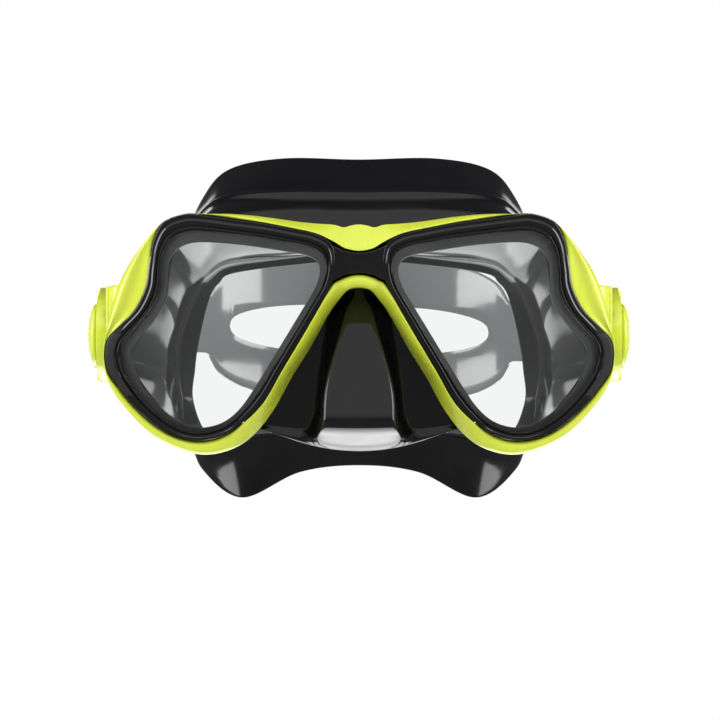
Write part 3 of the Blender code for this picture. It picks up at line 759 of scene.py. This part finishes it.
def edge_round(outer, inner, from_loop):
    """Rows that round off a free edge between two loops."""
    rows = []
    for part, push in EDGE_ROWS:
        row = []
        for a, b, f in zip(outer, inner, from_loop):
            away = (Vector(a) - Vector(f)).normalized() * EDGE_BULGE * push
            row.append(tuple(Vector(mix(a, b, part)) + away))
        rows.append(row)
    return rows


def cornered_rows(first, corner, last):
    """Straight rows to a small rounded corner and straight on to the last loop."""
    before = [toward(c, f, COVE_LIP) for c, f in zip(corner, first)]
    after = [toward(c, e, COVE_WALL) for c, e in zip(corner, last)]
    rows = [[mix(a, b, t) for a, b in zip(first, before)] for t in (0, 0.1, 0.35, 0.7, 0.95)]
    rows += [[bend(a, c, b, t) for a, c, b in zip(before, corner, after)]
             for t in (0, 0.2, 0.4, 0.6, 0.8, 1.0)]
    for t in (0.02, 0.1, 0.22, 0.35, 0.5, 0.65, 0.8, 0.9, 0.97, 1.0):
        row = []
        for a, b, f, c in zip(after, last, first, corner):
            inward = (Vector(f) - Vector(c)).normalized() * WALL_BOW * sin(pi * t)
            row.append(tuple(Vector(mix(a, b, t)) + inward))
        rows.append(row)
    return rows


def chin_setback(x, z):
    """Below the nose the skirt's front edge lies back against the nose web."""
    return CHIN_SETBACK * smooth_step((CHIN_HALF - abs(x)) / CHIN_EASE) if z < 0.0 else 0.0


def skirt_guides():
    """Closed guide loops: inner and outer front edge, crease, flange, lip and inner wall."""
    front = [[(x, lens_plane(x, z) + FRAME_DEPTH + SKIRT_CLEARANCE + chin_setback(x, z), z)
              for x, z in mirrored_loop(half, SKIRT_STEPS)]
             for half in (SKIRT_INNER_FRONT, SKIRT_OUTER_FRONT)]
    return front + [mirrored_loop(half, SKIRT_STEPS) for half in
                    (SKIRT_CREASE, SKIRT_FLANGE, SKIRT_LIP, SKIRT_INNER_WALL)]


def make_skirt_wall(outer_skin, inner_skin_painted_light):
    """Outer wall with its bead, feathered face flange, inner sealing lip and the walls between."""
    inner, outer, crease, flange, lip, wall = skirt_guides()
    places = [place for place, _ in SKIN_ROWS]
    depths = [-height for _, height in SKIN_ROWS]
    outside = section_rows([outer, crease, flange], places, depths)
    flange_in = [toward(a, b, EDGE) for a, b in zip(flange, lip)]
    lip_out = [toward(a, b, EDGE) for a, b in zip(lip, flange)]
    crease_in = [toward(a, b, SHEET) for a, b in zip(crease, wall)]
    wall_out = [toward(a, b, SHEET) for a, b in zip(wall, crease)]
    valley = [mix(mix(a, b, 0.5), mix(c, d, 0.5), VALLEY_DEPTH)
              for a, b, c, d in zip(inner, outer, crease, wall)]
    groove = section_rows([flange_in, crease_in, valley, wall_out, lip_out], GROOVE_ROWS)
    rows = outside + edge_round(flange, flange_in, crease) + groove
    rows += edge_round(lip_out, lip, wall) + cornered_rows(lip, wall, inner)
    split = len(outside) + len(EDGE_ROWS) + len(groove) // 2
    # Rows from mid-groove on take the lighter inner copy: painted light
    return ring_piece("skirt_wall", rows, [outer_skin, inner_skin_painted_light],
                      lambda row, column: 0 if row < split else 1, body="mask", node="skirt",
                      slot="black_silicone")


def make_lens_seat(name, side, material):
    """Silicone seat behind one lens: the flat band seen through the glass and its inner lip.

    The profile gives shares and depths from the pane's edge in over the lip and back."""
    sections = opening_sections()
    profile = [(LENS_EDGE, 7.25), (0.3, 7.2), (0.12, 7.2), (0.05, 7.3), (0.01, 7.7), (0.0, 8.3),
               (0.0, 9.5), (0.03, 11.5), (0.1, 14.5), (0.16, 15.0), (0.42, 15.0),
               (LENS_EDGE, 11.6)]
    loops = [ring_loop(sections, side, u, t) for u, t in profile]
    # Grey seat colour: painted light over black silicone seen through the glass
    return ring_piece(name, loops, [material], body="mask", node="skirt", slot="black_silicone")


def nose_columns(front, base, edge_x, face_y, level):
    """(x, y) down one side of the nose in plan: flat face, rounded edge, wall, fillet, web."""
    deep = level(base) - face_y
    corner = max(0.2, min(2.4, 0.4 * deep, 0.55 * (base - front)))
    fillet = max(0.2, min(3.2, 0.4 * deep))
    top = (front + corner, face_y + corner)
    foot = (base - 0.25 * fillet, level(base) - fillet)
    line = [(front * k / 5, face_y) for k in range(6)]
    line += [bend((front, face_y), (top[0], face_y), top, k / 6) for k in range(1, 7)]
    line += [mix(top, foot, k / 6) for k in range(1, 7)]
    heel = (base, level(base) - 0.1)
    end = (base + fillet, level(base + fillet))
    line += [bend(foot, heel, end, k / 6) for k in range(1, 7)]
    for k in range(1, 11):
        x = end[0] + (edge_x - end[0]) * k / 10
        line.append((x, level(x)))
    return line


def nose_row(row):
    """Front and back points of one row of the nose sheet."""
    centre_z, centre_y, front, base, edge_x, edge_y, edge_z, tilt = row
    flat = cos(radians(tilt))

    def level(x):
        return edge_y + WEB_BOW * sin(pi * min(1.0, abs(x) / edge_x)) * flat

    half = nose_columns(front, base, edge_x, min(centre_y, level(0) - 0.3), level)
    line = [(-x, y) for x, y in reversed(half[1:])] + half
    outside = []
    inside = []
    for x, y in line:
        part = x / edge_x
        z = edge_z + (centre_z - edge_z) * (1.0 - part * part)
        rise = smooth_step((level(x) - y) / max(0.5, level(x) - centre_y))
        lean = radians(tilt) * rise
        outside.append((x, y, z))
        inside.append((x * NOSE_INNER_SCALE, y + SHEET * cos(lean), z + SHEET * sin(lean)))
    return outside, inside


def make_nose(material):
    """Silicone web between the lenses with the soft nose pocket pushed forward out of it."""
    loops = []
    for row in open_curve(NOSE_ROWS, 6):
        outside, inside = nose_row(row)
        loops.append(outside + inside[::-1])
    return capped_piece("skirt_nose_pocket", loops, [material], body="mask", node="skirt",
                        slot="black_silicone")


# ---------------------------------------------------------------- strap and hardware

def strap_tail():
    """Plan-view centre line of the right free tail, from its end to the roller."""
    return [(76.0, 50.0), (76.1, 37.0), (76.5, 29.0), (77.3, 23.5), (79.6, 15.5),
            (81.9, 8.5), (ROLLER_X + STRAP_BEND, 3.0)]


def strap_path():
    """Plan-view centre line of the right half, free tail to the back of the head."""
    wrap = [(ROLLER_X + STRAP_BEND * cos(radians(a)), ROLLER_Y + STRAP_BEND * sin(radians(a)))
            for a in range(0, -181, -15)]
    run = [(74.1, 6.0), (73.8, 18.0), (73.4, 30.0), (73.0, 42.0), (72.4, 54.0), (71.6, 73.0),
           (70.0, 92.0)]
    rear = [(68.4, 101.0), (65.4, 110.0), (61.0, 118.0), (54.5, 126.5), (46.0, 134.5),
            (36.0, 141.0), (25.0, 146.0), (12.5, 149.2), (0.0, 150.3)]
    return strap_tail() + wrap + run + rear


def strap_half_width(x, y):
    """Half height along the strap: narrow sides, widening quickly into the head pad."""
    if y < PAD_START_Y:
        return STRAP_HALF
    for (xa, a), (xb, b) in zip(PAD_PROFILE, PAD_PROFILE[1:]):
        if xb <= abs(x) <= xa:
            return a + (b - a) * (xa - abs(x)) / (xa - xb)
    return STRAP_HALF


def strap_lift(x, y):
    """The head pad rides a little high and slightly tilted."""
    return smooth_step((y - LIFT_START_Y) / LIFT_LENGTH) * (PAD_LIFT - PAD_TILT * x)


def strap_section(half):
    """Closed strap section (offset, height): flat faces and rounded edges."""
    face = STRAP_THICK / 2
    upper = [(0.0, face), (half * 0.4, face), (half - 4.0, face), (half - 1.2, face),
             (half - 0.45, face - 0.06), (half - 0.12, face - 0.3), (half, 0.4)]
    side = [(n, z) for z, n in upper]
    top = side + [(-n, z) for n, z in reversed(side)]
    return top + [(-n, -z) for n, z in top[1:-1]]


def make_strap(material):
    """One-piece silicone strap: split head pad, side runs, wraps round the rollers, free tails."""
    half = open_curve(strap_path(), 7)
    path = half + [(-x, y) for x, y in reversed(half[:-1])]
    loops = []
    for i, (x, y) in enumerate(path):
        before = path[max(i - 1, 0)]
        after = path[min(i + 1, len(path) - 1)]
        length = sqrt((after[0] - before[0]) ** 2 + (after[1] - before[1]) ** 2)
        nx = (after[1] - before[1]) / length
        ny = (before[0] - after[0]) / length
        lift = strap_lift(x, y)
        loops.append([(x + nx * n, y + ny * n, z + lift)
                      for n, z in strap_section(strap_half_width(x, y))])
    item = capped_piece("strap_band", loops, [material], body="head_strap", node="strap",
                        slot="black_silicone")
    cutter = pad_slot(material)
    add_modifier(item, 'BOOLEAN', operation='DIFFERENCE', solver='EXACT', object=cutter)
    bake(item)
    bpy.data.objects.remove(cutter, do_unlink=True)
    bevelled(item, 0.55, 3)
    return keep_sharp(join(item, strap_teeth(1, material) + strap_teeth(-1, material)))


def pad_slot(material):
    """Block that cuts the long slot through the head pad."""
    upper = open_curve([(48.5, 0.0), (47.8, 2.2), (45.3, 4.3), (39.5, 6.3), (31.0, 7.9),
                        (20.0, 8.8), (0.0, 9.2)], 4)
    slot = upper + [(-x, z) for x, z in reversed(upper[:-1])]
    slot += [(-x, -z) for x, z in upper[1:]] + [(x, -z) for x, z in reversed(upper[1:-1])]
    slot = [(x, z + strap_lift(x, 150.0)) for x, z in slot]
    return capped_piece("cut", prism_loops(slot, 118.0, 175.0, 'Y'), [material])


def strap_teeth(side, material):
    """Rounded ridges across the outer face of one tail, for the lock lever to bite on."""
    line = strap_tail()
    teeth = []
    for level in TOOTH_PLACES:
        for (xa, ya), (xb, yb) in zip(line, line[1:]):
            if ya >= level > yb:
                length = sqrt((xb - xa) ** 2 + (yb - ya) ** 2)
                tx, ty = (xb - xa) / length, (yb - ya) / length
                cx = xa + (xb - xa) * (ya - level) / (ya - yb)
                foot, top = STRAP_THICK / 2 - 0.4, STRAP_THICK / 2 + 0.6
                corners = [(cx - ty * h + tx * w, level + tx * h + ty * w) for w, h in
                           ((-0.8, foot), (0.8, foot), (0.45, top), (-0.45, top))]
                loops = prism_loops([(side * x, y) for x, y in corners],
                                    TOOTH_INSET - STRAP_HALF, STRAP_HALF - TOOTH_INSET, 'Z')
                teeth.append(bevelled(capped_piece("tooth", loops, [material]), 0.25, 2, 40.0))
    return teeth


def make_button(name, side, material):
    """Domed swivel button with a ring groove and its post."""
    dome = PLATE_OUTER_X + GAP
    profile = [(75.6, 2.9), (75.9, 3.4), (76.3, POST_RADIUS), (dome, POST_RADIUS), (dome, 9.6),
               (dome + 0.25, 9.92), (dome + 0.7, BUTTON_RADIUS), (dome + 1.1, 9.85),
               (dome + 1.5, 9.4), (dome + 1.85, 8.6), (dome + 2.05, 7.9), (dome + 1.9, 7.55),
               (dome + 1.95, 7.3), (dome + 2.25, 7.0), (dome + 2.6, 5.8), (dome + 2.9, 4.2),
               (dome + 3.08, 2.4), (dome + 3.15, 0.8)]
    loops = [[(side * x, y, z) for y, z in circle((PIVOT_Y, 0.0), radius, 48)]
             for x, radius in profile]
    item = capped_piece(name + "_dome", loops, [material], body="mask", node=name,
                        slot="lime_plastic")
    return keep_sharp(item, 60.0)


def refined(node, body, material, width, segments=3):
    """Copy of a CAD solid with its edges rounded off."""
    source = bpy.data.objects[node]
    item = bpy.data.objects.new(node + "_shape", source.data.copy())
    bpy.context.scene.collection.objects.link(item)
    item.matrix_world = source.matrix_world.copy()
    item.data.materials.clear()
    item.data.materials.append(material)
    bm = bmesh.new()
    bm.from_mesh(item.data)
    bmesh.ops.remove_doubles(bm, verts=bm.verts, dist=0.000005)
    bmesh.ops.dissolve_limit(bm, angle_limit=radians(2.0), verts=bm.verts, edges=bm.edges)
    bm.to_mesh(item.data)
    bm.free()
    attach(item, body)
    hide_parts(node)
    return bevelled(item, width, segments, 30.0)


def make_keeper(name, side, material):
    """Small moulded loop with rounded edges holding the free tail against the strap."""
    outer = [(70.9, -12.9), (79.2, -12.9), (79.2, 12.9), (70.9, 12.9)]
    inner = [(72.0, -11.2), (78.1, -11.2), (78.1, 11.2), (72.0, 11.2)]
    loops = [[(side * x, y, z) for x, z in line] for line, y in
             ((outer, 25.5), (outer, 34.5), (inner, 34.5), (inner, 25.5))]
    item = ring_piece(name + "_loop", loops, [material], body="head_strap", node=name,
                      slot="black_silicone")
    return bevelled(item, 0.5, 4)


def make_mask():
    """All the visible pieces of the mask."""
    lime = moulded("lime_gloss")
    black = moulded("bezel_black_gloss")
    glass = clear_glass()
    polished = moulded("silicone_black_polished")
    # Inner skirt in a lighter copy of the black silicone: painted light
    inner_painted_light = moulded("silicone_black_inner_painted_light")
    # Lens seats in a grey copy of the black silicone: frosted, with painted light in the colour
    frosted_seat_painted_light = moulded("silicone_black_frosted_painted_light")
    band = moulded("strap_silicone")
    matt = moulded("matt_black_plastic")
    steel = brushed_steel()
    make_frame(lime)
    make_bezel(black, matt)
    make_skirt_wall(polished, inner_painted_light)
    make_nose(polished)
    make_strap(band)
    for end, side in (("_right", 1), ("_left", -1)):
        make_lens("lens" + end, side, glass)
        make_lens_seat("skirt_lens_seat" + end, side, frosted_seat_painted_light)
        make_button("swivel_button" + end, side, lime)
        make_keeper("strap_keeper" + end, side, band)
        refined("swivel_clip" + end, "mask", matt, 0.2, 2)
        refined("buckle_body" + end, "head_strap", lime, 0.45)
        refined("lock_lever" + end, "lever" + end, lime, 0.35)
        refined("strap_roller" + end, "roller" + end, matt, 0.15, 2)
        refined("roller_pin" + end, "head_strap", steel, 0.1, 2)
        refined("lever_pin" + end, "head_strap", steel, 0.1, 2)


# ---------------------------------------------------------------- studio

def light_area(name, place, aim, size, power):
    data = bpy.data.lights.new(name, 'AREA')
    data.shape = 'RECTANGLE'
    data.size, data.size_y = size
    data.energy = power
    item = bpy.data.objects.new(name, data)
    item.location = place
    item.rotation_euler = (Vector(aim) - Vector(place)).to_track_quat('-Z', 'Y').to_euler()
    bpy.context.scene.collection.objects.link(item)
    return item


def make_world():
    """White to the camera; to all else a bright backdrop and overhead in a dim room."""
    world = bpy.data.worlds.new("studio")
    bpy.context.scene.world = world
    world.use_nodes = True
    tree = world.node_tree
    back = tree.nodes["Background"]
    out = tree.nodes["World Output"]
    coords = tree.nodes.new("ShaderNodeTexCoord")
    split = tree.nodes.new("ShaderNodeSeparateXYZ")
    tree.links.new(coords.outputs["Generated"], split.inputs["Vector"])

    def ease(socket, limits, first, last):
        item = tree.nodes.new("ShaderNodeMapRange")
        item.interpolation_type = 'SMOOTHSTEP'
        for key, value in (("From Min", limits[0]), ("From Max", limits[1]),
                           ("To Min", first), ("To Max", last)):
            item.inputs[key].default_value = value
        tree.links.new(socket, item.inputs["Value"])
        return item.outputs["Result"]

    def combine(operation, a, b):
        item = tree.nodes.new("ShaderNodeMath")
        item.operation = operation
        tree.links.new(a, item.inputs[0])
        tree.links.new(b, item.inputs[1])
        return item.outputs["Value"]

    behind = ease(split.outputs["Y"], BACKDROP_BEHIND, 0.0, BACKDROP_LIGHT)
    low = ease(split.outputs["Z"], BACKDROP_TOP, 1.0, 0.0)
    above = ease(split.outputs["Z"], OVERHEAD_RISE, 0.0, OVERHEAD_LIGHT)
    near = ease(split.outputs["Y"], OVERHEAD_NEAR, 1.0, 0.0)
    room = ease(split.outputs["Z"], ROOM_RISE, ROOM_LIGHT, CEILING_LIGHT)
    across = tree.nodes.new("ShaderNodeMath")
    across.operation = 'ABSOLUTE'
    tree.links.new(split.outputs["X"], across.inputs[0])
    centred = ease(across.outputs["Value"], BACKDROP_SIDE, 1.0, 0.0)
    table = ease(split.outputs["Z"], TABLE_EDGE, TABLE_LIGHT, 1.0)
    screen = combine('MULTIPLY', combine('MULTIPLY', behind, centred),
                     combine('MULTIPLY', low, table))
    lit = combine('ADD', screen, combine('MULTIPLY', above, near))
    strength = combine('ADD', lit, room)
    tree.links.new(strength, back.inputs["Strength"])
    back.inputs["Color"].default_value = (1.0, 1.0, 1.0, 1.0)
    plain = tree.nodes.new("ShaderNodeBackground")
    plain.inputs["Color"].default_value = (1.0, 1.0, 1.0, 1.0)
    rays = tree.nodes.new("ShaderNodeLightPath")
    blend = tree.nodes.new("ShaderNodeMixShader")
    tree.links.new(rays.outputs["Is Camera Ray"], blend.inputs["Fac"])
    tree.links.new(back.outputs["Background"], blend.inputs[1])
    tree.links.new(plain.outputs["Background"], blend.inputs[2])
    tree.links.new(blend.outputs["Shader"], out.inputs["Surface"])


def make_floor():
    """White floor: to the camera even white without edge or shadow, to all else a soft glow."""
    corners = [(x * FLOOR_REACH, y * FLOOR_REACH, FLOOR_Z)
               for x, y in ((-1, -1), (1, -1), (1, 1), (-1, 1))]
    n = Nodes("white_floor")
    n.set(Roughness=0.9, Emission_Strength=FLOOR_GLOW)
    speck = n.noise(3.0, 2.0)
    n.feed("Base Color", n.ramp(speck, (0.80, 0.80, 0.80), (0.83, 0.83, 0.83)))
    n.shader.inputs["Emission Color"].default_value = (1.0, 1.0, 1.0, 1.0)
    bright = n.add("ShaderNodeEmission")
    bright.inputs["Strength"].default_value = 1.0
    rays = n.add("ShaderNodeLightPath")
    blend = n.add("ShaderNodeMixShader")
    n.link(rays.outputs["Is Camera Ray"], blend.inputs["Fac"])
    n.link(n.shader.outputs["BSDF"], blend.inputs[1])
    n.link(bright.outputs["Emission"], blend.inputs[2])
    n.link(blend.outputs["Shader"], n.output.inputs["Surface"])
    floor = new_piece("studio_floor", corners, [(0, 1, 2, 3)], [n.material])
    floor.visible_glossy = False


def make_camera():
    """Level camera with the photograph's scale at the lens frame."""
    data = bpy.data.cameras.new("camera")
    data.sensor_width = SENSOR_WIDTH
    data.lens = SENSOR_WIDTH * EYE_DISTANCE / (IMAGE_PIXELS / PIXELS_PER_MM)
    data.clip_start = 0.01
    item = bpy.data.objects.new("camera", data)
    item.location = (EYE_SHIFT_X * MM, (LENS_Y - EYE_DISTANCE) * MM,
                     (EYE_Z + EYE_SHIFT_Z) * MM)
    item.rotation_euler = (radians(90), 0, 0)
    bpy.context.scene.collection.objects.link(item)
    bpy.context.scene.camera = item


def make_lights():
    """High front fill that gives no highlights, and a softbox on each side of the mask.

    Places and sizes are in metres, powers in watts."""
    fill = light_area("front_fill", (0.0, -0.95, 0.75), (0, -0.04, 0), (0.9, 0.6), 5.5)
    fill.visible_glossy = False
    for side in (1, -1):
        light_area("side_softbox_%d" % side, (side * 0.85, -0.16, 0.26), (0, -0.1, 0.26),
                   (0.5, 0.6), 5.6)


make_mask()
make_world()
make_floor()
make_camera()
make_lights()
bpy.context.scene.view_settings.view_transform = 'Standard'
